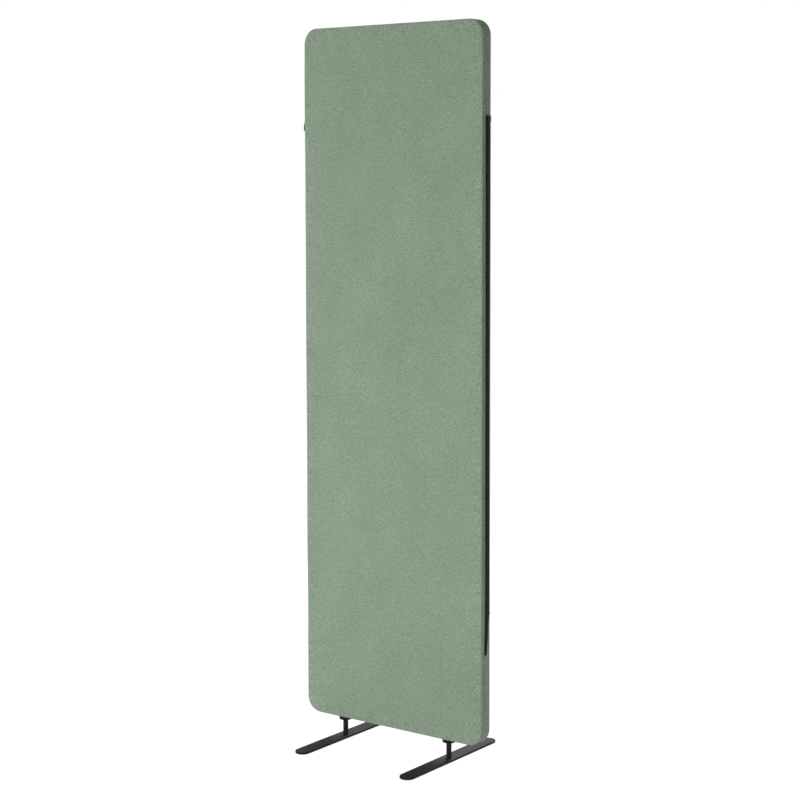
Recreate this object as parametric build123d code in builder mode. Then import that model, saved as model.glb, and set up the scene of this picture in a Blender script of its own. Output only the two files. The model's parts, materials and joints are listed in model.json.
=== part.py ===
from build123d import *
import os

# Free-standing screen: a padded wooden frame in a sewn cloth cover, on two flat steel feet.
# Half a zip is sewn into the middle of each side edge, so that screens can be joined in a row.
# The origin is on the floor under the panel's centre, the front looks towards -Y and +Z is up.

# Whole screen
total_height = 1650.0
floor_gap = 50.0
panel_width = 498.0
panel_thickness = 35.0
corner_radius = 36.0

# Cover and padding
cloth = 1.0
padding = 4.0
padding_round_share = 0.5
seam_allowance = 8.0

# Wooden frame and core boards
stile_width = 45.0
top_rail_height = 45.0
bottom_rail_height = 60.0
cross_rail_height = 40.0
cross_rail_count = 2
groove_clearance = 0.5
zip_recess_width = 12.0
zip_recess_depth = 2.4
dowel_diameter = 8.0
dowel_length = 40.0
dowel_spacing = 22.0
dowel_end_room = 1.0

# Zip tape and teeth
zip_length = 1188.0
tape_thickness = 0.6
tape_sewn_width = 7.5
tape_root_width = 4.0
tape_notch = 2.5
tape_tail_length = 95.0
tape_tail_width = 2.9
tape_tail_round = 6.0
chain_inner_reach = 7.3
chain_outer_reach = 10.3
chain_thickness = 3.4
chain_spine = 1.4
tape_grip = 0.8
left_lean_angle = 15.0
left_bend_reach = 0.1
tooth_pitch = 4.4
tooth_head = 2.1
tooth_neck = 1.4

# Zip ends
pin_length = 16.0
fixed_pin_width = 1.9
fixed_pin_thickness = 2.4
loose_pin_width = 2.7
loose_pin_thickness = 2.8
pin_round = 0.6
box_height = 8.0
box_wall = 0.9
box_roof = 1.6
box_round = 0.7
socket_clearance = 0.2
stop_height = 4.0
stop_overlap = 0.3

# Zip slider and its pull
slider_length = 16.0
slider_shoulder = 9.2
slider_neck = 5.4
slider_taper = 7.0
slider_plate = 1.1
slider_corner = 1.3
slider_edge = 0.35
chain_clearance = 0.2
tape_clearance = 0.25
park_gap = 0.3
post_width = 1.0
post_length = 5.0
post_setback = 1.2
crown_width = 2.2
crown_leg = 1.1
crown_bridge = 0.9
crown_setback = 7.4
pull_length = 26.0
pull_thickness = 1.2
pull_bar = 1.3
pull_arm = 1.4
pull_arm_end = 0.7
pull_head_length = 7.0
pull_grip_width = 7.4
pull_corner = 1.8
pull_slot_width = 2.6
pull_slot_length = 9.0
pull_slot_margin = 3.4
pull_room = 0.12
pull_side_room = 0.3
pull_turn_room = 0.6

# Feet
foot_inset = 100.0
foot_bar_length = 350.0
foot_bar_width = 35.0
foot_bar_thickness = 5.0
foot_bar_edge = 0.6
pad_thickness = 1.0
pad_diameter = 22.0
pad_inset = 30.0
post_diameter = 12.0
collar_diameter = 30.0
collar_height = 8.0
collar_round = 1.0
stud_diameter = 8.0
stud_in_post = 12.0
stud_in_insert = 18.0
stud_clearance = 0.2
insert_diameter = 12.0
insert_length = 22.0
insert_clearance = 0.5
screw_diameter = 6.0
screw_head_diameter = 12.0
screw_length = 16.0
screw_clearance = 0.2
screw_socket = 4.0
screw_socket_depth = 2.2
countersink_angle = 90.0
thread_end_room = 1.5
overrun = 5.0

# Places that follow from the sizes above
panel_height = total_height - floor_gap
panel_centre = floor_gap + panel_height / 2
side_x = panel_width / 2
padding_round = padding * padding_round_share
edge_round = padding_round + cloth
frame_thickness = panel_thickness - 2 * (cloth + padding)
frame_width = panel_width - 2 * cloth
frame_bottom = floor_gap + cloth
frame_top = total_height - cloth
bay_width = frame_width - 2 * stile_width
seam_half = tape_thickness / 2
groove_width = tape_thickness + 2 * cloth
groove_depth = seam_allowance + groove_clearance
zip_top = panel_centre + zip_length / 2
zip_bottom = panel_centre - zip_length / 2
tape_tip = chain_inner_reach + tape_grip
chain_bottom = zip_bottom + tape_tail_length + stop_height
chain_top = zip_top - pin_length
tooth_count = int((chain_top - chain_bottom) / tooth_pitch)
foot_spacing = panel_width - 2 * foot_inset
foot_sides = {"left": -foot_spacing / 2, "right": foot_spacing / 2}
bar_top = pad_thickness + foot_bar_thickness
collar_bottom = floor_gap - collar_height

bend_x = -side_x - left_bend_reach
left_bend = Axis((bend_x, 0, 0), (0, 0, 1))

os.makedirs("parts", exist_ok=True)


def save(builder, name):
    builder.part.label = name
    export_step(builder.part, f"parts/{name}.step")


def save_leaning(builder, name):
    """Writes a piece of the left zip half, which leans back about its tape's bend."""
    with BuildPart() as leaning:
        add(builder.part.rotate(left_bend, -left_lean_angle))
    save(leaning, name)


def panel_plane(distance):
    """Upright plane in front of the panel's middle, with its centre on the panel's centre."""
    return Plane(origin=(0, -distance, panel_centre), x_dir=(1, 0, 0), z_dir=(0, -1, 0))


def panel_outline(inset):
    """The panel's rounded outline, drawn in by an inset, in the current sketch."""
    RectangleRounded(panel_width - 2 * inset, panel_height - 2 * inset, corner_radius - inset)


# Space inside the cover's front half, from the seam to the inner side of the cloth
with BuildPart() as cover_space:
    with BuildSketch(panel_plane(seam_half)):
        panel_outline(cloth)
    extrude(amount=panel_thickness / 2 - cloth - seam_half)
    fillet(cover_space.faces().sort_by(Axis.Y)[0].edges(), padding_round)

# Holes through the cover's bottom for the inserts that take the feet
with BuildPart() as insert_holes:
    with BuildSketch(Plane.XY.offset(floor_gap - overrun)):
        with GridLocations(foot_spacing, 0, 2, 1):
            Circle(insert_diameter / 2 + insert_clearance)
    extrude(amount=overrun + cloth + seam_allowance + overrun)

# Front cover: face, wrapped edge and the seam allowance that is tucked into the frame's groove
with BuildPart() as cover_front:
    with BuildSketch(panel_plane(seam_half)):
        panel_outline(0)
    extrude(amount=panel_thickness / 2 - seam_half)
    fillet(cover_front.faces().sort_by(Axis.Y)[0].edges(), edge_round)
    add(cover_space.part, mode=Mode.SUBTRACT)
    with BuildSketch(panel_plane(seam_half)):
        panel_outline(cloth)
        with BuildSketch(mode=Mode.PRIVATE) as allowance_inside:
            panel_outline(cloth + seam_allowance)
        add(allowance_inside.sketch, mode=Mode.SUBTRACT)
    extrude(amount=cloth)
    add(insert_holes.part, mode=Mode.SUBTRACT)
save(cover_front, "cover_front")

# Back cover: the same cut, turned to the other side of the seam
with BuildPart() as cover_back:
    mirror(cover_front.part, about=Plane.XZ)
save(cover_back, "cover_back")

# Padding: a soft sheet over the front of the frame, its edge rounded under the cloth
with BuildPart() as padding_front:
    with BuildSketch(panel_plane(frame_thickness / 2)):
        panel_outline(cloth)
    extrude(amount=padding)
    fillet(padding_front.faces().sort_by(Axis.Y)[0].edges(), padding_round)
save(padding_front, "padding_front")

with BuildPart() as padding_back:
    mirror(padding_front.part, about=Plane.XZ)
save(padding_back, "padding_back")

# Solid slab of the frame's outline, which trims the corners of the stiles
with BuildPart() as frame_slab:
    with BuildSketch(panel_plane(frame_thickness / 2)):
        panel_outline(cloth)
    extrude(amount=-frame_thickness)

# Groove round the frame's outer edge that takes the seam allowances and the zip tapes
with BuildPart() as edge_groove:
    with BuildSketch(panel_plane(groove_width / 2)):
        panel_outline(0)
        with BuildSketch(mode=Mode.PRIVATE) as groove_inside:
            panel_outline(cloth + groove_depth)
        add(groove_inside.sketch, mode=Mode.SUBTRACT)
    extrude(amount=-groove_width)

# Rails: heights of their centres and their own heights, from the bottom up
bay_bottom = frame_bottom + bottom_rail_height
bay_top = frame_top - top_rail_height
bay_height = (bay_top - bay_bottom - cross_rail_count * cross_rail_height) / (cross_rail_count + 1)
rails = {"frame_rail_bottom": (frame_bottom + bottom_rail_height / 2, bottom_rail_height)}
dowel_heights = [(frame_bottom + groove_depth + bay_bottom) / 2, (frame_top - groove_depth + bay_top) / 2]
for number in range(cross_rail_count):
    rail_centre = bay_bottom + (number + 1) * bay_height + (number + 1 / 2) * cross_rail_height
    rails[f"frame_rail_cross_{number + 1}"] = (rail_centre, cross_rail_height)
    dowel_heights.append(rail_centre)
rails["frame_rail_top"] = (frame_top - top_rail_height / 2, top_rail_height)

# Dowels: two in each end of each rail, half in the rail and half in the stile, clear of the groove
joint_x = bay_width / 2
dowel_places = []
for centre in dowel_heights:
    for joint in (-joint_x, joint_x):
        for step in (-dowel_spacing / 2, dowel_spacing / 2):
            dowel_places.append((joint - dowel_length / 2, 0, centre + step))

with BuildPart() as frame_dowels:
    for place in dowel_places:
        with BuildSketch(Plane(origin=place, z_dir=(1, 0, 0))):
            Circle(dowel_diameter / 2)
        extrude(amount=dowel_length)
save(frame_dowels, "frame_dowels")

with BuildPart() as dowel_holes:
    for place_x, place_y, place_z in dowel_places:
        with BuildSketch(Plane(origin=(place_x - dowel_end_room, place_y, place_z), z_dir=(1, 0, 0))):
            Circle(dowel_diameter / 2)
        extrude(amount=dowel_length + 2 * dowel_end_room)

# Recess in the outer side of each stile, which flares the groove's mouth where the zip draws the
# cloth in
recess_mouth = side_x - cloth
recess_floor = recess_mouth - zip_recess_depth
with BuildPart() as zip_recesses:
    with BuildSketch(Plane.XY.offset(frame_bottom)):
        for direction in (-1, 1):
            with BuildLine():
                Polyline(
                    (direction * recess_floor, -groove_width / 2),
                    (direction * recess_floor, groove_width / 2),
                    (direction * recess_mouth, zip_recess_width / 2),
                    (direction * recess_mouth, -zip_recess_width / 2),
                    close=True,
                )
            make_face()
    extrude(amount=frame_top - frame_bottom)

# Stiles: full height, with the panel's round corners cut on their ends
for side, direction in (("left", -1), ("right", 1)):
    with BuildPart() as stile:
        with BuildSketch(panel_plane(frame_thickness / 2)):
            with Locations((direction * (frame_width - stile_width) / 2, 0)):
                Rectangle(stile_width, frame_top - frame_bottom)
        extrude(amount=-frame_thickness)
        add(frame_slab.part, mode=Mode.INTERSECT)
        add(edge_groove.part, mode=Mode.SUBTRACT)
        add(zip_recesses.part, mode=Mode.SUBTRACT)
        add(dowel_holes.part, mode=Mode.SUBTRACT)
    save(stile, f"frame_stile_{side}")

# Rails: between the stiles. The bottom one is bored from below for the threaded inserts.
for name, (centre, height) in rails.items():
    with BuildPart() as rail:
        with BuildSketch(Plane.XZ.offset(frame_thickness / 2)):
            with Locations((0, centre)):
                Rectangle(bay_width, height)
        extrude(amount=-frame_thickness)
        add(edge_groove.part, mode=Mode.SUBTRACT)
        add(dowel_holes.part, mode=Mode.SUBTRACT)
        if name == "frame_rail_bottom":
            with BuildSketch(Plane.XY.offset(frame_bottom)):
                with GridLocations(foot_spacing, 0, 2, 1):
                    Circle(insert_diameter / 2)
            extrude(amount=insert_length, mode=Mode.SUBTRACT)
    save(rail, name)

# Core boards: one fills each bay between two rails
for number in range(cross_rail_count + 1):
    board_centre = bay_bottom + number * (bay_height + cross_rail_height) + bay_height / 2
    with BuildPart() as board:
        with BuildSketch(Plane.XZ.offset(frame_thickness / 2)):
            with Locations((0, board_centre)):
                Rectangle(bay_width, bay_height)
        extrude(amount=-frame_thickness)
    save(board, f"core_board_{number + 1}")


def side_places(direction, points):
    """Points given as reach from the panel's side and height, on the left (-1) or right (1) side."""
    return [(direction * (side_x + reach), height) for reach, height in points]


def tape_points():
    """Zip tape: sewn strip, root, notched top and the tail that runs back into the seam."""
    tail_top = zip_bottom + tape_tail_length
    tail_end = zip_bottom + tape_tail_round
    return [
        (-cloth - tape_sewn_width, zip_bottom),
        (-cloth - tape_sewn_width, zip_top),
        (tape_root_width, zip_top),
        (tape_root_width, zip_top - tape_notch),
        (tape_tip, zip_top - tape_notch),
        (tape_tip, tail_top),
        (tape_tail_width, tail_end),
        (0, zip_bottom),
    ]


def chain_points(first_tooth):
    """Row of teeth on their spine. Each tooth is wider at its head than at its neck."""
    spine_reach = chain_inner_reach + chain_spine
    points = [(chain_inner_reach, chain_bottom), (spine_reach, chain_bottom)]
    for number in range(tooth_count):
        middle = chain_bottom + first_tooth + number * tooth_pitch
        points.append((spine_reach, middle - tooth_neck / 2))
        points.append((chain_outer_reach, middle - tooth_head / 2))
        points.append((chain_outer_reach, middle + tooth_head / 2))
        points.append((spine_reach, middle + tooth_neck / 2))
    points.append((spine_reach, chain_top))
    points.append((chain_inner_reach, chain_top))
    return points


def pin_block(direction, width, thickness, bottom):
    """Smooth moulded pin on the tape's edge, rounded at its upper end."""
    with BuildPart() as pin:
        with BuildSketch(Plane.XY.offset(bottom)):
            with Locations((direction * (side_x + chain_inner_reach + width / 2), 0)):
                RectangleRounded(width, thickness, pin_round)
        extrude(amount=zip_top - bottom)
        fillet(pin.faces().sort_by(Axis.Z)[-1].edges(), pin_round)
    return pin.part


# The two halves of the zip. The right half's teeth stand half a pitch higher, so that they mesh
# with the left half of the next screen. The left half's free edge leans back with its slider.
tapes = {}
save_half = {"left": save_leaning, "right": save}
for side, direction, first_tooth in (("left", -1, tooth_pitch / 4), ("right", 1, 3 * tooth_pitch / 4)):
    with BuildPart() as zip_tape:
        with BuildSketch(Plane.XZ.offset(tape_thickness / 2)):
            with BuildLine():
                Polyline(side_places(direction, tape_points()), close=True)
            make_face()
        extrude(amount=-tape_thickness)
    tapes[side] = zip_tape.part

    with BuildPart() as zip_teeth:
        with BuildSketch(Plane.XZ.offset(chain_thickness / 2)):
            with BuildLine():
                Polyline(side_places(direction, chain_points(first_tooth)), close=True)
            make_face()
        extrude(amount=-chain_thickness)
        add(tapes[side], mode=Mode.SUBTRACT)
    save_half[side](zip_teeth, f"zip_teeth_{side}")

    # Stop moulded on the tape under the last tooth
    with BuildPart() as zip_stop:
        with BuildSketch(Plane.XY.offset(chain_bottom - stop_height)):
            stop_width = chain_outer_reach - chain_inner_reach + 2 * stop_overlap
            with Locations((direction * (side_x + (chain_inner_reach + chain_outer_reach) / 2), 0)):
                RectangleRounded(stop_width, chain_thickness + 2 * stop_overlap, pin_round)
        extrude(amount=stop_height)
        add(tapes[side], mode=Mode.SUBTRACT)
    save_half[side](zip_stop, f"zip_stop_{side}")

save(zip_tape, "zip_tape_right")

# Left tape: its sewn strip stays flat, and from just outside the seam the tape leans back
with BuildPart() as sewn_strip:
    add(tapes["left"])
    split(bisect_by=Plane.YZ.offset(bend_x), keep=Keep.TOP)
with BuildPart() as free_strip:
    add(tapes["left"])
    split(bisect_by=Plane.YZ.offset(bend_x), keep=Keep.BOTTOM)
with BuildPart() as zip_tape_left:
    add(sewn_strip.part)
    add(free_strip.part.rotate(left_bend, -left_lean_angle))
save(zip_tape_left, "zip_tape_left")

# Insertion pin at the top of the right half
with BuildPart() as zip_pin_right:
    add(pin_block(1, loose_pin_width, loose_pin_thickness, chain_top))
    add(tapes["right"], mode=Mode.SUBTRACT)
save(zip_pin_right, "zip_pin_right")

# Fixed pin at the top of the left half. Its upper end is held in the retainer box.
with BuildPart() as zip_pin_left:
    add(pin_block(-1, fixed_pin_width, fixed_pin_thickness, chain_top))
    with BuildSketch(Plane.XY.offset(zip_top - box_roof)):
        with Locations((-side_x - chain_inner_reach, 0)):
            Rectangle(2 * loose_pin_width, 2 * loose_pin_thickness)
    extrude(amount=overrun, mode=Mode.SUBTRACT)
    add(tapes["left"], mode=Mode.SUBTRACT)
save_leaning(zip_pin_left, "zip_pin_left")

# Retainer box: a cap over the fixed pin, with a socket beside it for the next screen's loose pin
box_bottom = zip_top - box_height
socket_inner = chain_inner_reach + fixed_pin_width
socket_outer = socket_inner + loose_pin_width + 2 * socket_clearance
socket_thickness = loose_pin_thickness + 2 * socket_clearance
box_inner = chain_inner_reach - box_wall
box_outer = socket_outer + box_wall
with BuildPart() as zip_box_left:
    with BuildSketch(Plane.XY.offset(box_bottom)):
        with Locations((-side_x - (box_inner + box_outer) / 2, 0)):
            RectangleRounded(box_outer - box_inner, socket_thickness + 2 * box_wall, box_round)
    extrude(amount=box_height)
    fillet(zip_box_left.faces().sort_by(Axis.Z)[-1].edges(), box_round)
    with BuildSketch(Plane.XY.offset(box_bottom)):
        with Locations((-side_x - (socket_inner + socket_outer) / 2, 0)):
            Rectangle(socket_outer - socket_inner, socket_thickness)
        with Locations((-side_x - chain_inner_reach - fixed_pin_width / 2, 0)):
            Rectangle(fixed_pin_width, fixed_pin_thickness)
    extrude(amount=box_height - box_roof, mode=Mode.SUBTRACT)
    add(tapes["left"], mode=Mode.SUBTRACT)
save_leaning(zip_box_left, "zip_box_left")

# Slider: two plates over the teeth, joined by a post that stands just clear of the tooth tips,
# with rims behind the teeth and a crown for the pull on the back plate
slider_top = box_bottom - park_gap
slider_bottom = slider_top - slider_length
channel_half = chain_thickness / 2 + chain_clearance
plate_half = channel_half + slider_plate
post_reach = chain_outer_reach + chain_clearance + post_width / 2
channel_width = 2 * (post_reach - chain_inner_reach + chain_clearance)
slider_x = -side_x - post_reach
rim_slot = tape_thickness + 2 * tape_clearance
pull_turn_radius = (pull_arm_end**2 + (pull_thickness / 2) ** 2) ** (1 / 2)
crown_inside = pull_turn_radius + pull_room
pivot_y = plate_half + crown_inside
pivot_z = slider_top - crown_setback
with BuildPart() as zip_slider:
    with BuildSketch(Plane.XZ.offset(plate_half)):
        with BuildLine():
            Polyline(
                (slider_x - slider_neck / 2, slider_top),
                (slider_x - slider_shoulder / 2, slider_top - slider_taper),
                (slider_x - slider_shoulder / 2, slider_bottom),
                (slider_x + slider_shoulder / 2, slider_bottom),
                (slider_x + slider_shoulder / 2, slider_top - slider_taper),
                (slider_x + slider_neck / 2, slider_top),
                close=True,
            )
        slider_face = make_face()
        fillet(slider_face.vertices(), slider_corner)
    extrude(amount=-2 * plate_half)
    fillet(zip_slider.faces().sort_by(Axis.Y)[0].edges(), slider_edge)
    fillet(zip_slider.faces().sort_by(Axis.Y)[-1].edges(), slider_edge)
    with BuildSketch(Plane.XZ.offset(channel_half)):
        with Locations((slider_x, (slider_top + slider_bottom) / 2)):
            Rectangle(channel_width, slider_length + 2 * overrun)
    extrude(amount=-2 * channel_half, mode=Mode.SUBTRACT)
    with BuildSketch(Plane.XZ.offset(rim_slot / 2)):
        with Locations((slider_x, (slider_top + slider_bottom) / 2)):
            Rectangle(slider_shoulder + 2 * overrun, slider_length + 2 * overrun)
    extrude(amount=-rim_slot, mode=Mode.SUBTRACT)
    with BuildSketch(Plane.XZ.offset(channel_half)):
        with Locations((slider_x, slider_bottom + post_setback + post_length / 2)):
            SlotOverall(post_length, post_width, rotation=90)
    extrude(amount=-2 * channel_half)
    crown_half = crown_inside + crown_leg
    crown_top = pivot_y + crown_inside + crown_bridge
    with BuildSketch(Plane.YZ.offset(slider_x - crown_width / 2)):
        with Locations(((plate_half + crown_top) / 2, pivot_z)):
            Rectangle(crown_top - plate_half, 2 * crown_half)
        with Locations((pivot_y, pivot_z)):
            Rectangle(2 * crown_inside, 2 * crown_inside, mode=Mode.SUBTRACT)
    extrude(amount=crown_width)
    crown_corners = zip_slider.faces().sort_by(Axis.Y)[-1].edges().filter_by(Axis.X)
    fillet(crown_corners, crown_bridge)
save_leaning(zip_slider, "zip_slider")

# Pull: its round bar passes under the crown, and the tab hangs down behind the slider
window_width = crown_width + 2 * pull_side_room
crown_corner_reach = (crown_half**2 + (crown_top - pivot_y) ** 2) ** (1 / 2)
window_end = crown_corner_reach + pull_turn_room
head_width = window_width + 2 * pull_arm
window_height = window_end + pull_arm_end + overrun
pull_top = pivot_z + pull_arm_end
pull_bottom = pull_top - pull_length
with BuildPart() as zip_pull:
    with BuildSketch(Plane.XZ.offset(-pivot_y + pull_thickness / 2)):
        with BuildLine():
            Polyline(
                (slider_x - head_width / 2, pull_top),
                (slider_x - head_width / 2, pull_top - pull_head_length),
                (slider_x - pull_grip_width / 2, pull_bottom),
                (slider_x + pull_grip_width / 2, pull_bottom),
                (slider_x + head_width / 2, pull_top - pull_head_length),
                (slider_x + head_width / 2, pull_top),
                close=True,
            )
        pull_face = make_face()
        fillet(pull_face.vertices().group_by(Axis.Y)[0], pull_corner)
        with Locations((slider_x, pivot_z - window_end + window_height / 2)):
            Rectangle(window_width, window_height, mode=Mode.SUBTRACT)
        with Locations((slider_x, pull_bottom + pull_slot_margin + pull_slot_length / 2)):
            SlotOverall(pull_slot_length, pull_slot_width, rotation=90, mode=Mode.SUBTRACT)
    extrude(amount=-pull_thickness)
    with BuildSketch(Plane.YZ.offset(slider_x - head_width / 2)):
        with Locations((pivot_y, pivot_z)):
            Circle(pull_bar / 2)
    extrude(amount=head_width)
save_leaning(zip_pull, "zip_pull")

# Feet: one set under each end of the bottom rail
for side, foot_x in foot_sides.items():
    # Pads that keep the bar off the floor
    with BuildPart() as foot_pads:
        with BuildSketch(Plane.XY):
            with Locations((foot_x, 0)):
                with GridLocations(0, foot_bar_length - 2 * pad_inset, 1, 2):
                    Circle(pad_diameter / 2)
        extrude(amount=pad_thickness)
    save(foot_pads, f"foot_pads_{side}")

    # Flat bar with round ends, broken edges and a countersunk hole from below
    with BuildPart() as foot_bar:
        with BuildSketch(Plane.XY.offset(pad_thickness)):
            with Locations((foot_x, 0)):
                SlotOverall(foot_bar_length, foot_bar_width, rotation=90)
        extrude(amount=foot_bar_thickness)
        fillet(foot_bar.faces().sort_by(Axis.Z)[-1].edges(), foot_bar_edge)
        fillet(foot_bar.faces().sort_by(Axis.Z)[0].edges(), foot_bar_edge)
        with Locations(Plane(origin=(foot_x, 0, pad_thickness), z_dir=(0, 0, -1))):
            CounterSinkHole(
                radius=screw_diameter / 2 + screw_clearance,
                counter_sink_radius=screw_head_diameter / 2,
                depth=foot_bar_thickness,
                counter_sink_angle=countersink_angle,
            )
    save(foot_bar, f"foot_bar_{side}")

    # Round post, bored below for the screw and above for the stud
    screw_in_post = screw_length - foot_bar_thickness + thread_end_room
    with BuildPart() as foot_post:
        with BuildSketch(Plane.XY.offset(bar_top)):
            with Locations((foot_x, 0)):
                Circle(post_diameter / 2)
        extrude(amount=collar_bottom - bar_top)
        with BuildSketch(Plane.XY.offset(bar_top)):
            with Locations((foot_x, 0)):
                Circle(screw_diameter / 2)
        extrude(amount=screw_in_post, mode=Mode.SUBTRACT)
        with BuildSketch(Plane.XY.offset(collar_bottom - stud_in_post)):
            with Locations((foot_x, 0)):
                Circle(stud_diameter / 2)
        extrude(amount=stud_in_post, mode=Mode.SUBTRACT)
    save(foot_post, f"foot_post_{side}")

    # Collar that spreads the load on the cover's underside
    with BuildPart() as foot_collar:
        with BuildSketch(Plane.XY.offset(collar_bottom)):
            with Locations((foot_x, 0)):
                Circle(collar_diameter / 2)
        extrude(amount=collar_height)
        fillet(foot_collar.faces().sort_by(Axis.Z)[0].edges(), collar_round)
        with BuildSketch(Plane.XY.offset(collar_bottom)):
            with Locations((foot_x, 0)):
                Circle(stud_diameter / 2 + stud_clearance)
        extrude(amount=collar_height, mode=Mode.SUBTRACT)
    save(foot_collar, f"foot_collar_{side}")

    # Stud from the post through the collar into the insert
    stud_bottom = collar_bottom - stud_in_post
    with BuildPart() as foot_stud:
        with BuildSketch(Plane.XY.offset(stud_bottom)):
            with Locations((foot_x, 0)):
                Circle(stud_diameter / 2)
        extrude(amount=frame_bottom + stud_in_insert - stud_bottom)
    save(foot_stud, f"foot_stud_{side}")

    # Threaded insert in the bottom rail
    with BuildPart() as foot_insert:
        with BuildSketch(Plane.XY.offset(frame_bottom)):
            with Locations((foot_x, 0)):
                Circle(insert_diameter / 2)
                Circle(stud_diameter / 2, mode=Mode.SUBTRACT)
        extrude(amount=insert_length)
    save(foot_insert, f"foot_insert_{side}")

    # Countersunk screw, flush with the bar's underside, with a hexagon socket
    head_height = (screw_head_diameter - screw_diameter) / 2
    with BuildPart() as foot_screw:
        with BuildSketch(Plane.XZ):
            with BuildLine():
                Polyline(
                    (foot_x, pad_thickness),
                    (foot_x + screw_head_diameter / 2, pad_thickness),
                    (foot_x + screw_diameter / 2, pad_thickness + head_height),
                    (foot_x + screw_diameter / 2, pad_thickness + screw_length),
                    (foot_x, pad_thickness + screw_length),
                    close=True,
                )
            make_face()
        revolve(axis=Axis((foot_x, 0, 0), (0, 0, 1)))
        with BuildSketch(Plane.XY.offset(pad_thickness)):
            with Locations((foot_x, 0)):
                RegularPolygon(screw_socket / 2, 6, major_radius=False)
        extrude(amount=screw_socket_depth, mode=Mode.SUBTRACT)
    save(foot_screw, f"foot_screw_{side}")

slider_travel = slider_bottom - chain_bottom - park_gap
print(f"teeth on each half: {tooth_count}")
print(f"slider travel: {slider_travel:.2f}")
pivot = Vertex(slider_x, pivot_y, pivot_z).rotate(left_bend, -left_lean_angle).center()
print(f"pull pivot: {pivot.X:.4f} {pivot.Y:.4f} {pivot.Z:.4f}")
print(f"zip from {zip_bottom:.1f} to {zip_top:.1f}")
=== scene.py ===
import json
import math

import bpy
from mathutils import Matrix, Vector, noise


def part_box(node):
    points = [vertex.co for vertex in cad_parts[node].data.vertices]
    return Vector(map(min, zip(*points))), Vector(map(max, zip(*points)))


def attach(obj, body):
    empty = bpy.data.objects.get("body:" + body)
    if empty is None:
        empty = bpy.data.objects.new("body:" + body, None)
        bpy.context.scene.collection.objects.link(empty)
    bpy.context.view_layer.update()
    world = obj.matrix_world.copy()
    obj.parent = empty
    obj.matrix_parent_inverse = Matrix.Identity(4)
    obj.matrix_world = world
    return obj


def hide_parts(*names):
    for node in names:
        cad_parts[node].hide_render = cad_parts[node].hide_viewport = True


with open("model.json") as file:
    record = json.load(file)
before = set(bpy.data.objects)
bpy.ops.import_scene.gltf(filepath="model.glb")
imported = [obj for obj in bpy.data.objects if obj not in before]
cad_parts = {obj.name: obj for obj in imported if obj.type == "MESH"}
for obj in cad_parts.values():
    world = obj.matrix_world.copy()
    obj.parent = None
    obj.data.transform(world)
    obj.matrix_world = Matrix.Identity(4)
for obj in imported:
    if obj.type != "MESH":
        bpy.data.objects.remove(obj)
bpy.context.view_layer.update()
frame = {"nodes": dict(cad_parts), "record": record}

nodes = frame["nodes"]

# Camera
# A studio camera stands in front and to the right of the screen, lower than the panel's top edge.
# It looks slightly down through a shifted lens, so that uprights stay nearly upright.
picture_side = 800
focal_pixels = 1806.4
optical_centre = (400.606, 357.30)
camera_place = (2.44605, -3.24905, 1.3087)
camera_turn = math.radians(36.803)
camera_tilt = math.radians(-5.650)
camera_roll = math.radians(-0.137)

camera_data = bpy.data.cameras.new("camera")
camera_data.lens = focal_pixels / picture_side * camera_data.sensor_width
camera_data.shift_x = 0.5 - optical_centre[0] / picture_side
camera_data.shift_y = optical_centre[1] / picture_side - 0.5
camera = bpy.data.objects.new("camera", camera_data)
camera.matrix_world = (
    Matrix.Translation(camera_place)
    @ Matrix.Rotation(camera_turn, 4, "Z")
    @ Matrix.Rotation(math.radians(90) + camera_tilt, 4, "X")
    @ Matrix.Rotation(camera_roll, 4, "Z")
)
bpy.context.scene.collection.objects.link(camera)
bpy.context.scene.camera = camera
bpy.context.scene.view_settings.view_transform = "Standard"


class Socket:
    """An output of a node in a material. Python's operators on it add Math nodes."""

    def __init__(self, tree, output=None):
        self.tree = tree
        self.output = output

    def node(self, kind, settings=None, values=None, out=0):
        """Adds a node, its settings first and then its sockets' values or links, and returns an output."""
        made = self.tree.nodes.new("ShaderNode" + kind)
        for name, value in (settings or {}).items():
            setattr(made, name, value)
        for name, value in (values or {}).items():
            if isinstance(value, Socket):
                self.tree.links.new(value.output, made.inputs[name])
            else:
                made.inputs[name].default_value = value
        return Socket(self.tree, made.outputs[out] if made.outputs else None)

    def math(self, operation, *values):
        return self.node("Math", {"operation": operation}, dict(enumerate(values)))

    def __add__(self, other):
        return self.math("ADD", self, other)

    def __sub__(self, other):
        return self.math("SUBTRACT", self, other)

    def __rsub__(self, other):
        return self.math("SUBTRACT", other, self)

    def __mul__(self, other):
        return self.math("MULTIPLY", self, other)

    __radd__ = __add__
    __rmul__ = __mul__

    def mix(self, first, second):
        """The first colour where this is 0, the second where it is 1."""
        return self.node("Mix", {"data_type": "RGBA"}, {0: self, 6: first, 7: second}, out=2)


def colour(red, green, blue):
    """A paint chip's values from 0 to 255 as the linear colour that the renderer works in."""
    linear = [c / 3294.6 if c < 10.3 else ((c / 255 + 0.055) / 1.055) ** 2.4 for c in (red, green, blue)]
    return (*linear, 1.0)


# Floor, backdrop and lamps
# A plain white studio: a big pale floor under a white surround, a large soft box in front on the
# left, a second one high up behind, and three small cards that light the panel's foot and side.
floor_half = 30.0
floor_colour = colour(238, 238, 236)
floor_seen_share = 0.35
floor_glow = 0.93
surround_light = 0.30
# Each lamp's place, width and height in metres, and power in watts
lamps = {
    "key_box": ((-1.8, -3.4, 0.65), 2.0, 2.0, 98.0),
    "left_card": ((-0.95, -0.65, 0.25), 0.5, 0.4, 0.9),
    "right_card": ((1.5, -2.7, 0.25), 0.8, 0.4, 13.0),
    "low_card": ((1.75, -0.75, 0.15), 0.5, 0.3, 4.6),
    "back_box": ((-0.9, 2.8, 2.4), 1.6, 1.6, 56.0),
}
aim = Vector((0, 0, 0.8))


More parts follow.
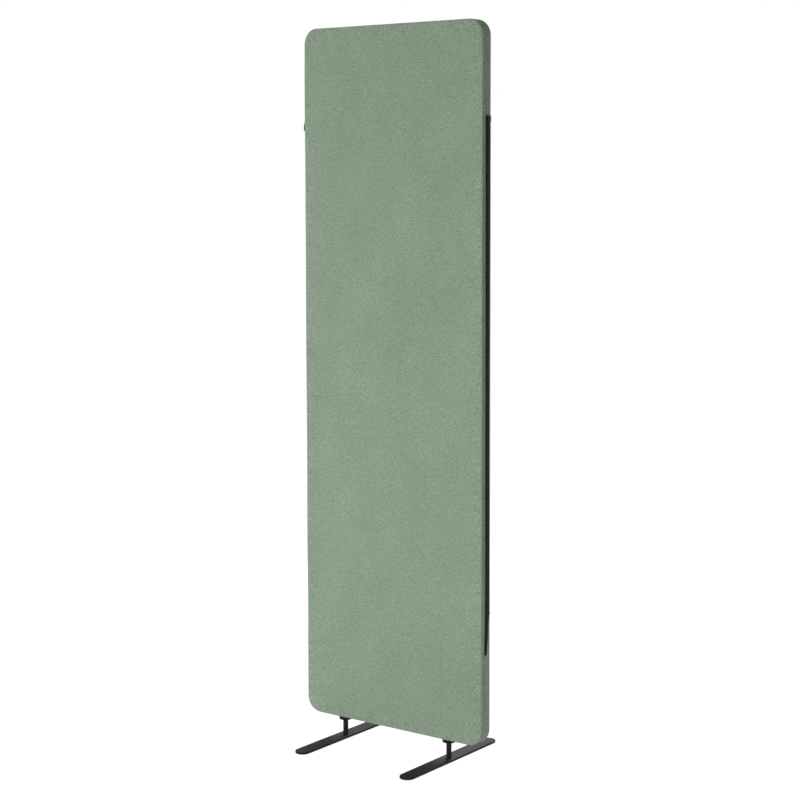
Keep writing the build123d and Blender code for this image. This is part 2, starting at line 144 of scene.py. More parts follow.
def seen_white(start):
    """1 for rays of the lens and for those that see the studio in a shine or through a gap."""
    seen = start.node("LightPath", out="Is Camera Ray")
    for kind in ("Is Glossy Ray", "Is Transmission Ray"):
        seen = start.math("MAXIMUM", seen, start.node("LightPath", out=kind))
    return seen


def begin(name):
    """A new empty material and its first socket."""
    material = bpy.data.materials.new(name)
    material.use_nodes = True
    material.node_tree.nodes.clear()
    return material, Socket(material.node_tree)


floor_mesh = bpy.data.meshes.new("floor")
quarters = ((-1, -1), (1, -1), (1, 1), (-1, 1))
corners = [(floor_half * x, floor_half * y, 0) for x, y in quarters]
floor_mesh.from_pydata(corners, [], [(0, 1, 2, 3)])
floor = bpy.data.objects.new("floor", floor_mesh)
bpy.context.scene.collection.objects.link(floor)
floor_paint, start = begin("floor_paint")
matt = start.node("BsdfDiffuse", None, {"Color": floor_colour})
seen_colour = (*[floor_seen_share * channel for channel in floor_colour[:3]], 1.0)
faint = start.node("BsdfDiffuse", None, {"Color": seen_colour})
glow = start.node("Emission", None, {"Strength": floor_glow})
seen = start.node("AddShader", None, {0: faint, 1: glow})
surface = start.node("MixShader", None, {0: seen_white(start), 1: matt, 2: seen})
start.node("OutputMaterial", None, {"Surface": surface})
floor_mesh.materials.append(floor_paint)

studio = bpy.data.worlds.new("studio")
studio.use_nodes = True
studio.node_tree.nodes.clear()
start = Socket(studio.node_tree)
dim = start.node("Background", None, {"Color": (1, 1, 1, 1), "Strength": surround_light})
white = start.node("Background", None, {"Color": (1, 1, 1, 1), "Strength": 1.0})
surface = start.node("MixShader", None, {0: seen_white(start), 1: dim, 2: white})
start.node("OutputWorld", None, {"Surface": surface})
bpy.context.scene.world = studio

for name, (place, width, height, power) in lamps.items():
    lamp_data = bpy.data.lights.new(name, "AREA")
    lamp_data.shape = "RECTANGLE"
    lamp_data.size = width
    lamp_data.size_y = height
    lamp_data.energy = power
    lamp = bpy.data.objects.new(name, lamp_data)
    lamp.location = place
    target = Vector((aim.x, aim.y, min(aim.z, place[2])))
    lamp.rotation_euler = (target - lamp.location).to_track_quat("-Z", "Y").to_euler()
    bpy.context.scene.collection.objects.link(lamp)


# Wooden frame
# Two stiles and four rails of planed pine, glued up with beech dowels into a flat ladder. It is
# closed in by the padding and the cover, and its groove takes the cover's seam.
pine_pale = colour(214, 178, 124)
pine_dark = colour(176, 128, 78)
beech_pale = colour(216, 180, 140)
beech_dark = colour(190, 146, 104)
ring_width = 0.006
ring_length = 0.36
ring_contrast = (0.35, 0.65)
ring_share = 0.7
pore_width = 0.0006
pore_length = 0.012
grain_rise = 0.00025
planed_roughness = 0.55
pore_roughness = 0.2


def complete(start, values):
    """Closes a material with a Principled shader of these values and links."""
    shader = start.node("BsdfPrincipled", None, values)
    start.node("OutputMaterial", None, {"Surface": shader})


def bump(start, height, rise, strength=1.0):
    """Relief that rises by rise, in metres, where height is 1."""
    return start.node("Bump", None, {"Height": height, "Distance": rise, "Strength": strength})


def stretched_noise(start, place, sizes, detail=2.0):
    """Noise whose patches have these sizes along X, Y and Z, in metres."""
    scale = tuple(1 / size for size in sizes)
    place = start.node("VectorMath", {"operation": "MULTIPLY"}, {0: place, 1: scale})
    return start.node("TexNoise", None, {"Vector": place, "Scale": 1.0, "Detail": detail})


def stepped(start, value, low, high):
    """0 below low, 1 above high and smooth between."""
    ends = {"Value": value, "From Min": low, "From Max": high}
    return start.node("MapRange", {"interpolation_type": "SMOOTHSTEP"}, ends)


def wood(name, pale, dark, lengthwise):
    """Planed wood with its grain along one axis, 0 for X and 2 for Z."""
    material, start = begin(name)
    place = start.node("TexCoord", out="Object")
    ring_sizes = [ring_width] * 3
    ring_sizes[lengthwise] = ring_length
    pore_sizes = [pore_width] * 3
    pore_sizes[lengthwise] = pore_length
    rings = stretched_noise(start, place, ring_sizes, 3.0)
    pores = stretched_noise(start, place, pore_sizes)
    tone = stepped(start, rings, *ring_contrast) * ring_share + pores * (1 - ring_share)
    complete(
        start,
        {
            "Base Color": tone.mix(pale, dark),
            "Roughness": planed_roughness + pores * pore_roughness,
            "Normal": bump(start, pores, grain_rise),
        },
    )
    return material


def dress(node, material):
    """Gives a piece of the frame its finish and leaves its shape alone."""
    for slot in nodes[node].material_slots:
        slot.material = material


pine_upright = wood("pine_upright", pine_pale, pine_dark, 2)
pine_level = wood("pine_level", pine_pale, pine_dark, 0)
beech = wood("beech", beech_pale, beech_dark, 0)
for node in nodes:
    if node.startswith("frame_stile"):
        dress(node, pine_upright)
    if node.startswith("frame_rail"):
        dress(node, pine_level)
dress("frame_dowels", beech)

# Core boards
# Pressed fibre boards that fill the frame's three bays and swallow sound. They are cut to the bay
# and held by the padding on both sides.
fibre_pale = colour(178, 176, 168)
fibre_dark = colour(120, 120, 116)
fibre_length = 0.008
fibre_width = 0.0005
fibre_rise = 0.0006
fibre_contrast = (0.4, 0.75)

fibre_board, start = begin("fibre_board")
place = start.node("TexCoord", out="Object")
long_fibres = stretched_noise(start, place, (fibre_length, fibre_width, fibre_width))
cross_fibres = stretched_noise(start, place, (fibre_width, fibre_width, fibre_length))
fibres = start.math("MAXIMUM", long_fibres, cross_fibres)
tone = stepped(start, fibres, *fibre_contrast)
complete(
    start,
    {
        "Base Color": tone.mix(fibre_dark, fibre_pale),
        "Roughness": 0.95,
        "Normal": bump(start, fibres, fibre_rise),
    },
)
for node in nodes:
    if node.startswith("core_board"):
        dress(node, fibre_board)

# Padding
# A sheet of needled wadding over each face of the frame, with its edge rounded off. It softens the
# panel's rim under the cloth and is glued to the wood along its edges. The taut cloth draws its
# upright edges in and presses them down, a little differently at each height.
wadding_colour = colour(226, 225, 218)
wadding_shade = colour(196, 195, 186)
fluff_size = 0.004
fluff_rise = 0.0012
fluff_contrast = (0.3, 0.7)
corner_radius = 0.036
cloth = 0.001
cloth_room = 0.0001
edge_round = 0.0022
edge_drop = 0.0011
crown = 0.0014
sway_rise = 0.00012
sway_size = 0.125
coarse_grid = (24, 84, 6)
margin_shares = (0.05, 0.12, 0.22, 0.34, 0.48, 0.64, 0.82)
rounding_steps = 5
weld_distance = 0.00001
# By face (-1 is the front) and side (-1 is the left): height above the floor, how far in, how far down
drawn_edges = {
    (-1, -1): (
        (0.060, -0.0022, 0.0),
        (0.085, -0.0013, 0.0),
        (0.20, -0.0009, 0.0),
        (0.30, -0.0001, 0.0),
        (0.38, -0.0005, 0.0),
        (0.46, -0.0012, 0.0),
        (0.52, -0.0008, 0.0),
        (0.64, 0.0002, 0.0),
        (0.74, 0.0005, 0.0),
        (0.84, 0.0001, 0.0),
        (0.95, 0.0001, 0.0),
        (1.06, 0.0006, 0.0),
        (1.17, 0.0009, 0.0),
        (1.25, 0.0009, 0.0),
        (1.30, 0.0009, 0.0006),
        (1.36, 0.0009, 0.0004),
        (1.44, 0.0009, 0.0),
        (1.54, 0.0009, 0.0002),
        (1.57, 0.0009, 0.0007),
        (1.61, 0.0009, 0.0012),
        (1.65, 0.0009, 0.0010),
    ),
    (-1, 1): ((0.05, 0.0009, 0.0), (1.65, 0.0009, 0.0)),
    (1, 1): (
        (0.20, -0.0001, 0.0),
        (0.34, 0.0002, 0.0),
        (0.42, 0.0006, 0.0),
        (0.60, 0.0006, 0.0),
        (0.72, 0.0009, 0.0007),
        (1.20, 0.0009, 0.0010),
        (1.40, 0.0009, 0.0008),
        (1.47, 0.0009, 0.0),
        (1.65, 0.0008, 0.0),
    ),
    (1, -1): (
        (0.05, 0.0, 0.0),
        (0.60, 0.0, 0.0),
        (1.20, 0.0009, 0.0008),
        (1.40, 0.0009, 0.0008),
        (1.48, 0.0009, 0.0),
    ),
}
cover_low, cover_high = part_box("cover_front")
half_width = cover_high[0]
panel_bottom, panel_top = cover_low[2], cover_high[2]
half_thickness = -cover_low[1]
wood_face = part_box("frame_stile_right")[1][1]
zip_low, zip_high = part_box("zip_tape_right")


def mesh_piece(name, points, faces, material, body):
    """A smooth mesh in the screen's own frame that rides on a body."""
    mesh = bpy.data.meshes.new(name)
    mesh.from_pydata(points, [], faces)
    mesh.polygons.foreach_set("use_smooth", [True] * len(mesh.polygons))
    mesh.materials.append(material)
    made = bpy.data.objects.new(name, mesh)
    bpy.context.scene.collection.objects.link(made)
    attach(made, body)
    return made


def panel_walk(across, up, around):
    """Once round the panel: each stop's column and row in the inner grid, and its outward direction."""
    sides = (
        ((0, 0), (1, 0), across),
        ((across, 0), (0, 1), up),
        ((across, up), (-1, 0), across),
        ((0, up), (0, -1), up),
    )
    walk = []
    for number, (first, step, count) in enumerate(sides):
        heading = math.radians(90 * number - 90)
        for place in range(count + 1):
            walk.append((first[0] + step[0] * place, first[1] + step[1] * place, heading))
        corner = (first[0] + step[0] * count, first[1] + step[1] * count)
        for turn in range(1, around):
            walk.append((*corner, heading + math.radians(90 * turn / around)))
    return walk


def panel_shell(side, grid, rim, face):
    """Points and faces of a sheet over one face of the panel: side is -1 for the front.

    rim gives, at a stop, the sheet's section from its inner end to the face's grid, as distances in
    from the panel's edge and out from its middle plane. face gives how far out the grid stands."""
    across, up, around = grid
    inner_x = half_width - corner_radius
    inner_low, inner_high = panel_bottom + corner_radius, panel_top - corner_radius
    columns = [inner_x * (2 * i / across - 1) for i in range(across + 1)]
    rows = [inner_low + (inner_high - inner_low) * j / up for j in range(up + 1)]
    points = [(x, side * face(x, z), z) for z in rows for x in columns]
    faces = []
    for j in range(up):
        for i in range(across):
            a = j * (across + 1) + i
            faces.append((a, a + 1, a + across + 2, a + across + 1))
    rings = []
    for column, row, heading in panel_walk(*grid):
        out_x, out_z = math.cos(heading), math.sin(heading)
        x, z = columns[column], rows[row]
        ring = []
        for inset, depth in rim(side, x, z, out_x, out_z):
            out = corner_radius - inset
            ring.append(len(points))
            points.append((x + out_x * out, side * depth, z + out_z * out))
        ring.append(row * (across + 1) + column)
        rings.append(ring)
    for first, second in zip(rings, rings[1:] + rings[:1]):
        for k in range(len(first) - 1):
            face_points = [first[k], second[k], second[k + 1], first[k + 1]]
            faces.append(tuple(dict.fromkeys(face_points)))
    if side > 0:
        faces = [tuple(reversed(f)) for f in faces]
    return points, faces


def arc(centre_in, centre_out, radius, first, last, steps):
    """Points of a rounding in a sheet's section, as distances in and out, between two angles."""
    angles = [math.radians(first + (last - first) * k / steps) for k in range(steps + 1)]
    return [(centre_in - radius * math.cos(a), centre_out + radius * math.sin(a)) for a in angles]


def eased(value, low, high):
    """0 below low, 1 above high and smooth between."""
    t = min(max((value - low) / (high - low), 0), 1)
    return t * t * (3 - 2 * t)


def between(table, key):
    """A table's row at this key, worked out between the two nearest rows, without its key."""
    if key <= table[0][0]:
        return table[0][1:]
    for low, high in zip(table, table[1:]):
        if key <= high[0]:
            share = (key - low[0]) / (high[0] - low[0])
            return tuple(first + (second - first) * share for first, second in zip(low[1:], high[1:]))
    return table[-1][1:]


def drawn_in(side, out_x, height):
    """How far the taut cloth draws an upright edge of the panel in, and how far it presses it down."""
    inset, drop = between(drawn_edges[side, 1 if out_x > 0 else -1], height)
    return out_x**2 * inset, out_x**2 * drop


def margin(inset, depth, rise):
    """A section's points over the panel's margin, which rises from its edge to the flat face."""
    width = corner_radius - inset
    return [(inset + width * share, depth + rise * (1 - (1 - share) ** 2)) for share in margin_shares]


def sway(x, z):
    """The slight unevenness of the panel's faces."""
    return sway_rise * noise.noise((x / sway_size, 5.0, z / sway_size))


pad_depth = half_thickness - edge_drop - cloth - cloth_room
pad_round = edge_round - cloth - cloth_room


def pad_outer_rim(side, x, z, out_x, out_z):
    """The wadding's section from the wood over its rounded edge."""
    inset, drop = drawn_in(side, out_x, z + out_z * corner_radius)
    inset += cloth + cloth_room
    rounding = arc(inset + pad_round, pad_depth - drop - pad_round, pad_round, 0, 90, rounding_steps)
    return [(inset, wood_face), *rounding, *margin(inset + pad_round, pad_depth - drop, crown + drop)]


def pad_inner_rim(side, x, z, out_x, out_z):
    """The edge of the wadding's flat underside, on the wood."""
    inset, drop = drawn_in(side, out_x, z + out_z * corner_radius)
    return [(inset + cloth + cloth_room, wood_face)]


def pad_face(x, z):
    """How far out the wadding's face stands."""
    return pad_depth + crown + sway(x, z)


wadding, start = begin("wadding")
place = start.node("TexCoord", out="Object")
fluff = stretched_noise(start, place, [fluff_size] * 3, 6.0)
tone = stepped(start, fluff, *fluff_contrast)
complete(
    start,
    {
        "Base Color": tone.mix(wadding_shade, wadding_colour),
        "Roughness": 1.0,
        "Normal": bump(start, fluff, fluff_rise),
    },
)

for side, node in ((-1, "padding_front"), (1, "padding_back")):
    points, faces = panel_shell(side, coarse_grid, pad_outer_rim, pad_face)
    inner_points, inner_faces = panel_shell(side, coarse_grid, pad_inner_rim, lambda x, z: wood_face)
    faces += [tuple(len(points) + corner for corner in reversed(face)) for face in inner_faces]
    pad = mesh_piece(node + "_wadding", points + inner_points, faces, wadding, "screen")
    joined = pad.modifiers.new("joined_rim", "WELD")
    joined.merge_threshold = weld_distance
    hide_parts(node)

# Cover
# One piece of melange polyester cloth over each face, cut with a seam allowance and sewn to the
# other along the middle of the panel's edge. The seam is tucked into the frame's groove, and the
# zip tapes are sewn in with it on both sides.
sage_light = colour(154, 172, 152)
sage_mid = colour(135, 153, 133)
sage_dark = colour(112, 130, 110)
yarn = 0.0011
yarn_streak = 0.007
yarn_share = 0.35
yarn_softness = 0.3
mottle_sizes = (0.0026, 0.0026, 0.0034)
mottle_share = 1.1
patch_sizes = (0.09, 0.09, 0.14)
patch_share = 0.20
tone_offset = -0.325
dark_to_mid = (0.22, 0.50)
mid_to_light = (0.50, 0.78)
cloth_relief = 0.00018
cloth_relief_strength = 0.8
nap_share = 0.8
level_slope = (0.6, 0.8)
lip_width = 0.0011
lip_depth = 0.003
zip_lip_width = 0.0005
zip_lip_depth = 0.0008
# Height above the floor, and how far the zip holds the seam's lips from the middle
zip_gaps = (
    (0.27, 0.0),
    (0.33, 0.0002),
    (0.36, 0.0003),
    (0.42, 0.0005),
    (0.60, 0.0008),
    (1.10, 0.0011),
    (1.30, 0.0016),
    (1.40, 0.0021),
    (1.444, 0.0023),
    (1.450, 0.0),
)
seam_sink = 0.0009
zip_tail_sink = 0.0010
pinch_reach = 0.0046
side_swell = 0.00004
allowance = 0.009
allowance_share = 0.45
seam_gap = 0.0003
stud_hole = 0.0065
pucker = 0.00022
wood_cover = 0.00095
recess_depth = 0.0024
recess_run = 0.02
pucker_size = 0.011
lip_release = 0.75
lip_steps = 6
edge_steps = 7
wall_shares = (0.05, 0.11, 0.19, 0.28, 0.40, 0.60, 0.80)
tail_lead = 0.006
tail_release = (0.01, 0.06)
fine_grid = (72, 256, 20)
foot_x = (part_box("foot_stud_right")[0][0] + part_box("foot_stud_right")[1][0]) / 2


def sunk(out_x, height):
    """How far the zip's stitching draws the seam in where the tape's tail turns back into it."""
    above = height - zip_low[2]
    tail = eased(above, -tail_lead, 0) * (1 - eased(above, *tail_release))
    return out_x**2 * zip_tail_sink * tail


def seam_room(height):
    """How far in from the panel's edge the seam can lie: deep only along the recess in the stiles."""
    past_corner = min(height - panel_bottom, panel_top - height) - corner_radius
    return wood_cover + recess_depth * eased(past_corner, 0, recess_run)


def cover_rim(side, x, z, out_x, out_z):
    """The cloth's section from its seam allowance over the lip, the edge and the rounding."""
    rim_x, rim_z = x + out_x * corner_radius, z + out_z * corner_radius
    inset, drop = drawn_in(side, out_x, rim_z)
    opened = out_x**2 * between(zip_gaps, rim_z)[0]
    open_share = min(opened / zip_gaps[3][1], 1)
    pinch = seam_sink * (1 - lip_release * open_share) + sunk(out_x, rim_z)
    pinch += pucker * noise.noise((rim_x / pucker_size, 3.0, rim_z / pucker_size))
    pinch = min(pinch, seam_room(rim_z) - inset)
    depth = lip_depth + (zip_lip_depth - lip_depth) * open_share
    width = lip_width + (zip_lip_width - lip_width) * open_share
    section = [(allowance, seam_gap), (allowance * allowance_share, seam_gap)]
    for k in range(lip_steps + 1):
        turn = math.radians(90 * k / lip_steps)
        lip_in = inset + pinch + depth * (1 - math.sin(turn))
        section.append((lip_in, seam_gap + opened + width * (1 - math.cos(turn))))
    lip_out = seam_gap + opened + width
    edge_out = half_thickness - edge_drop - drop
    wall = edge_out - edge_round - lip_out
    for share in wall_shares:
        pinched = pinch * max(1 - share * wall / pinch_reach, 0) ** 2
        swell = side_swell * math.sin(math.pi * share)
        section.append((inset + pinched - swell, lip_out + wall * share))
    section += arc(inset + edge_round, edge_out - edge_round, edge_round, 0, 90, edge_steps)
    section += margin(inset + edge_round, edge_out, crown + drop)
    at_underside = out_z < -0.5
    hole = stud_hole**2 - (abs(rim_x) - foot_x) ** 2
    if at_underside and hole > 0:
        section = [(reach, max(out, math.sqrt(hole))) for reach, out in section]
    return section


def cover_face(x, z):
    """How far out the cloth's face stands."""
    return half_thickness - edge_drop + crown + sway(x, z)


melange, start = begin("melange_cloth")
place = start.node("TexCoord", out="Object")
facing = start.node("TexCoord", out="Normal")
place_x = start.node("SeparateXYZ", None, {0: place}, out="X")
place_y = start.node("SeparateXYZ", None, {0: place}, out="Y")
place_z = start.node("SeparateXYZ", None, {0: place}, out="Z")
face_z = start.node("SeparateXYZ", None, {0: facing}, out="Z")
level = stepped(start, start.math("ABSOLUTE", face_z), *level_slope)
across = place_x + place_y
upward = place_z + place_y * level
warp_place = start.node("CombineXYZ", None, {0: across * (1 / yarn), 1: upward * (1 / yarn_streak)})
weft_place = start.node("CombineXYZ", None, {0: across * (1 / yarn_streak), 1: upward * (1 / yarn)})
warp = start.node("TexNoise", None, {"Vector": warp_place, "Scale": 1.0, "Detail": 1.0})
weft = start.node("TexNoise", None, {"Vector": weft_place, "Scale": 1.0, "Detail": 1.0})
over = start.math("SINE", across * (math.pi / yarn)) * start.math("SINE", upward * (math.pi / yarn))
over = stepped(start, over, -yarn_softness, yarn_softness)
yarns = warp * over + weft * (1 - over)
mottle = stretched_noise(start, place, mottle_sizes, 1.0)
patches = stretched_noise(start, place, patch_sizes)
tone = yarns * yarn_share + mottle * mottle_share + patches * patch_share + tone_offset
darker_yarns = stepped(start, tone, *dark_to_mid).mix(sage_dark, sage_mid)
cloth_colour = stepped(start, tone, *mid_to_light).mix(darker_yarns, sage_light)
warp_bulge = start.math("ABSOLUTE", start.math("SINE", across * (math.pi / yarn)))
weft_bulge = start.math("ABSOLUTE", start.math("SINE", upward * (math.pi / yarn)))
relief = warp_bulge * over + weft_bulge * (1 - over) + mottle * nap_share
complete(
    start,
    {
        "Base Color": cloth_colour,
        "Roughness": 0.92,
        "Sheen Weight": 0.04,
        "Sheen Roughness": 0.5,
        "Specular IOR Level": 0.15,
        "Normal": bump(start, relief, cloth_relief, cloth_relief_strength),
    },
)

for side, node in ((-1, "cover_front"), (1, "cover_back")):
    points, faces = panel_shell(side, fine_grid, cover_rim, cover_face)
    cover = mesh_piece(node + "_cloth", points, faces, melange, "screen")
    thick = cover.modifiers.new("thickness", "SOLIDIFY")
    thick.thickness = cloth
    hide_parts(node)

# Zip tapes
# Woven black polyester tape, sewn into the cover's side seam. Its edge carries the teeth, and its
# lower end is turned back against the panel.
# The tape is black, and its black also serves as painted shade. Its grey face is painted dark at the root,
# where the seam's lips shade it, and again among the teeth's feet, where the teeth shade it.
tape_black_and_shade = colour(17, 17, 18)
tape_grey = colour(48, 49, 54)
chevron = 0.0014
rib_pitch = 0.0012
rib_rise = 0.00012
fuzz_size = 0.0012
fuzz_shares = (0.55, 0.9)
root_shade_fade = (0.0009, 0.0022)
teeth_shade_fade = (0.0042, 0.0056)
teeth_shade_share = 0.8
tape_thickness = 0.0006
tape_waviness = 0.0001
wave_width = 0.005
wave_length = 0.04
sewn_columns = (-0.0085, -0.005, -0.003, -0.0015, 0.0001)
free_columns = (0.0012, 0.0024, 0.0036, 0.0047, 0.0060, 0.0073, 0.0087)
tape_columns = sewn_columns + free_columns
tape_root = 0.004
tape_notch = 0.0025
tooth_pitch = 0.0044
# Height above the tape's lower end, and how far the tape shows out of the seam
tail_shape = (
    (0.0, 0.0001),
    (0.0012, 0.0014),
    (0.003, 0.0023),
    (0.006, 0.0029),
    (0.017, 0.0031),
    (0.029, 0.0041),
    (0.044, 0.0052),
    (0.062, 0.0061),
    (0.078, 0.0066),
    (0.095, 0.0087),
)
bend_reach = 0.0001
joints = {joint["name"]: joint for joint in frame["record"]["behaviour"]["joints"]}
pull_axis = joints["pull_swing"]["axis"]
left_lean = math.atan2(-pull_axis[1], pull_axis[0])

tape_weave, start = begin("tape_weave")
place = start.node("TexCoord", out="Object")
place_x = start.node("SeparateXYZ", None, {0: place}, out="X")
height = start.node("SeparateXYZ", None, {0: place}, out="Z")
reach = start.math("ABSOLUTE", place_x) - half_width
# Painted shade: black at the tape's root under the seam's lips, grey across the open band, and mostly
# black again among the teeth's feet.
unshaded_band = stepped(start, reach, *root_shade_fade) * (1 - stepped(start, reach, *teeth_shade_fade) * teeth_shade_share)
slant = start.math("PINGPONG", reach, chevron)
ribs = start.math("SINE", (height + slant) * (2 * math.pi / rib_pitch))
fuzz = stretched_noise(start, place, [fuzz_size] * 3, 3.0)
tone = unshaded_band * (fuzz_shares[0] + fuzz * fuzz_shares[1])
complete(
    start,
    {
        "Base Color": tone.mix(tape_black_and_shade, tape_grey),
        "Roughness": 0.75,
        "Specular IOR Level": 0.3,
        "Normal": bump(start, ribs * 0.5 + fuzz, rib_rise),
    },
)


def half_place(side, reach, depth, height):
    """A point of a zip half, from its reach out of the panel. The left half leans back from its bend."""
    out = reach - bend_reach
    if side == "right" or out <= 0:
        return ((half_width + reach) * (1 if side == "right" else -1), depth, height)
    x = half_width + bend_reach + out * math.cos(left_lean) - depth * math.sin(left_lean)
    return (-x, out * math.sin(left_lean) + depth * math.cos(left_lean), height)


def tape_limit(above):
    """How far the tape reaches from the panel at this height above its lower end."""
    for (low, near), (high, far) in zip(tail_shape, tail_shape[1:]):
        if above <= high:
            return near + (far - near) * (above - low) / (high - low)
    return tape_columns[-1]


for side in ("left", "right"):
    bottom, top = zip_low[2], zip_high[2]
    heights = [bottom + above for above, reach in tail_shape[:-1]]
    tail_end, notch_low = heights[-1], top - tape_notch
    row_count = round((notch_low - tail_end) / tooth_pitch)
    heights += [tail_end + (notch_low - tail_end) * k / row_count for k in range(1, row_count + 1)]
    heights.append(top)
    points = []
    for height in heights:
        limit = tape_limit(height - bottom)
        for reach in tape_columns:
            wave = (reach / wave_width, len(side), height / wave_length)
            uneven = tape_waviness * noise.noise(wave)
            out = reach * limit / tape_columns[-1] if reach > 0 else reach
            points.append(half_place(side, out, uneven, height))
    faces = []
    width = len(tape_columns)
    for row in range(len(heights) - 1):
        for column in range(width - 1):
            if row == len(heights) - 2 and tape_columns[column + 1] > tape_root:
                continue
            a = row * width + column
            face = (a, a + 1, a + width + 1, a + width)
            faces.append(face if side == "right" else tuple(reversed(face)))
    tape = mesh_piece(f"zip_tape_{side}_weave", points, faces, tape_weave, "screen")
    thick = tape.modifiers.new("thickness", "SOLIDIFY")
    thick.thickness = tape_thickness
    thick.offset = 0
    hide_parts(f"zip_tape_{side}")

# Zip teeth and end pieces
# Black teeth of acetal, moulded one by one through the tape's edge, with their feet flat on the
# tape. The pins, the box and the stops are moulded on in the same way.
acetal = colour(52, 53, 58)
acetal_dark = colour(30, 31, 34)
# Reach out of the panel, half the height and half the depth
tooth_sections = (
    (0.0047, 0.0004, 0.00040),
    (0.0052, 0.0008, 0.00048),
    (0.00715, 0.0008, 0.00048),
    (0.0075, 0.0010, 0.00140),
    (0.0080, 0.0010, 0.00168),
    (0.0088, 0.0007, 0.00160),
    (0.0095, 0.00105, 0.00168),
    (0.0101, 0.0010, 0.00150),
    (0.0103, 0.0006, 0.00110),
)
tooth_sides = 8
squareness = 0.6
mould_grain = 0.0007
mould_rise = 0.00003
dust_size = 0.02
dust_contrast = (0.35, 0.65)

moulded, start = begin("moulded_acetal")
place = start.node("TexCoord", out="Object")
grain = stretched_noise(start, place, [mould_grain] * 3, 3.0)
dust = stretched_noise(start, place, [dust_size] * 3, 3.0)
tone = stepped(start, grain * 0.5 + dust * 0.5, *dust_contrast)
complete(
    start,
    {
        "Base Color": tone.mix(acetal_dark, acetal),
        "Roughness": 0.38 + dust * 0.2,
        "Normal": bump(start, grain, mould_rise),
    },
)


def tooth(side, middle, points, faces):
    """One moulded tooth with its middle at this height, as rounded sections from foot to head."""
    first = len(points)
    for reach, half_height, half_depth in tooth_sections:
        for k in range(tooth_sides):
            angle = 2 * math.pi * (k + 0.5) / tooth_sides
            across = math.copysign(abs(math.cos(angle)) ** squareness, math.cos(angle))
            up = math.copysign(abs(math.sin(angle)) ** squareness, math.sin(angle))
            points.append(half_place(side, reach, half_depth * across, middle + half_height * up))
    rings = len(tooth_sections)
    for ring in range(rings - 1):
        for k in range(tooth_sides):
            a, b = first + ring * tooth_sides + k, first + ring * tooth_sides + (k + 1) % tooth_sides
            face = (a, b, b + tooth_sides, a + tooth_sides)
            faces.append(face if side == "right" else tuple(reversed(face)))
    low_cap = tuple(first + k for k in range(tooth_sides))
    high_cap = tuple(first + (rings - 1) * tooth_sides + k for k in range(tooth_sides))
    faces.append(tuple(reversed(low_cap)) if side == "right" else low_cap)
    faces.append(high_cap if side == "right" else tuple(reversed(high_cap)))


for side, first_share in (("left", 1 / 4), ("right", 3 / 4)):
    low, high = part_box(f"zip_teeth_{side}")
    count = int((high[2] - low[2]) / tooth_pitch)
    points, faces = [], []
    for number in range(count):
        tooth(side, low[2] + (first_share + number) * tooth_pitch, points, faces)
    teeth = mesh_piece(f"zip_teeth_{side}_moulded", points, faces, moulded, "screen")
    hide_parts(f"zip_teeth_{side}")
    dress(f"zip_stop_{side}", moulded)
    dress(f"zip_pin_{side}", moulded)
dress("zip_box_left", moulded)

# Slider and pull
# Die-cast zinc under black enamel. The slider runs on the left half's teeth, and its pull hangs
# from a crown on the back, so that little of it shows from the front.
enamel = colour(9, 9, 10)
enamel_worn = colour(44, 43, 42)
worn_edges = (0.60, 0.68)
wear_size = 0.002
wear_share = 0.08
peel_size = 0.0012
peel_rise = 0.00002

black_enamel, start = begin("black_enamel")
place = start.node("TexCoord", out="Object")
edges = start.node("NewGeometry", out="Pointiness")
wear = stretched_noise(start, place, [wear_size] * 3)
rubbed = stepped(start, edges + wear * wear_share, *worn_edges)
orange_peel = stretched_noise(start, place, [peel_size] * 3)
complete(
    start,
    {
        "Base Color": rubbed.mix(enamel, enamel_worn),
        "Metallic": rubbed * 0.6,
        "Roughness": 0.5 + rubbed * 0.15,
        "Specular IOR Level": 0.3,
        "Normal": bump(start, orange_peel, peel_rise),
    },
)
dress("zip_slider", black_enamel)
dress("zip_pull", black_enamel)

# Foot bars, posts and collars
# Two flat steel bars, each with a round post that carries the panel and a collar under the cloth.
# They are turned and cut from mild steel and powder-coated a fine matt black.
coat_black = colour(6, 6, 7)
coat_dust = colour(15, 15, 16)
coat_grain = 0.0009
coat_rise = 0.00006
coat_relief = 0.6
handled_size = 0.05
handled_share = 0.6
coat_contrast = (0.35, 0.7)

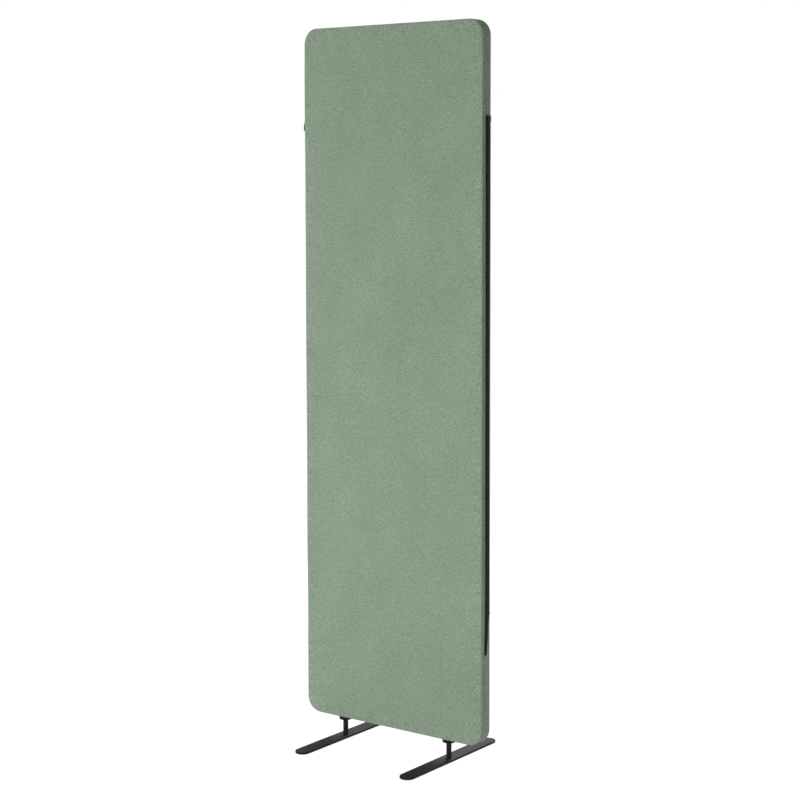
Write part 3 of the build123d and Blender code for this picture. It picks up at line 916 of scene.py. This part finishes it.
powder_coat, start = begin("powder_coat")
place = start.node("TexCoord", out="Object")
grain = stretched_noise(start, place, [coat_grain] * 3)
handled = stretched_noise(start, place, [handled_size] * 3, 4.0)
tone = grain * (1 - handled_share) + handled * handled_share
tone = stepped(start, tone, *coat_contrast)
complete(
    start,
    {
        "Base Color": tone.mix(coat_black, coat_dust),
        "Roughness": 0.50 + handled * 0.14,
        "Specular IOR Level": 0.18,
        "Normal": bump(start, grain, coat_rise, coat_relief),
    },
)
for node in nodes:
    if node.startswith(("foot_bar", "foot_post", "foot_collar")):
        dress(node, powder_coat)

# Studs, screws and inserts
# A zinc-plated countersunk screw holds each post to its bar. A stud of the same steel screws the post
# into a turned brass insert in the bottom rail.
zinc = colour(168, 170, 172)
zinc_pitch = 0.00125
brass_yellow = colour(196, 160, 86)
brass_pitch = 0.0015
thread_rise = 0.0002
spot_size = 0.003
spot_contrast = (0.3, 0.7)
spot_shade = 0.6


def plain_metal(name, paint, roughness, pitch):
    """Turned metal with the fine rings of its thread or lathe."""
    material, start = begin(name)
    place = start.node("TexCoord", out="Object")
    height = start.node("SeparateXYZ", None, {0: place}, out="Z")
    rings = start.math("SINE", height * (2 * math.pi / pitch))
    spots = stretched_noise(start, place, [spot_size] * 3, 3.0)
    darker = (*[spot_shade * channel for channel in paint[:3]], 1.0)
    complete(
        start,
        {
            "Base Color": stepped(start, spots, *spot_contrast).mix(darker, paint),
            "Metallic": 1.0,
            "Roughness": roughness + spots * 0.15,
            "Normal": bump(start, rings, thread_rise),
        },
    )
    return material


bright_zinc = plain_metal("bright_zinc", zinc, 0.28, zinc_pitch)
turned_brass = plain_metal("turned_brass", brass_yellow, 0.3, brass_pitch)
for node in nodes:
    if node.startswith(("foot_stud", "foot_screw")):
        dress(node, bright_zinc)
    if node.startswith("foot_insert"):
        dress(node, turned_brass)

# Foot pads
# Thin round rubber pads, glued under both ends of each bar. They keep the steel off the floor and
# stop the screen from sliding.
rubber_black = colour(24, 24, 24)
rubber_dust = colour(15, 15, 16)
rubber_grain = 0.0005
rubber_rise = 0.0001

rubber, start = begin("rubber")
place = start.node("TexCoord", out="Object")
grain = stretched_noise(start, place, [rubber_grain] * 3)
complete(
    start,
    {
        "Base Color": grain.mix(rubber_black, rubber_dust),
        "Roughness": 0.9,
        "Normal": bump(start, grain, rubber_rise),
    },
)
for node in nodes:
    if node.startswith("foot_pads"):
        dress(node, rubber)
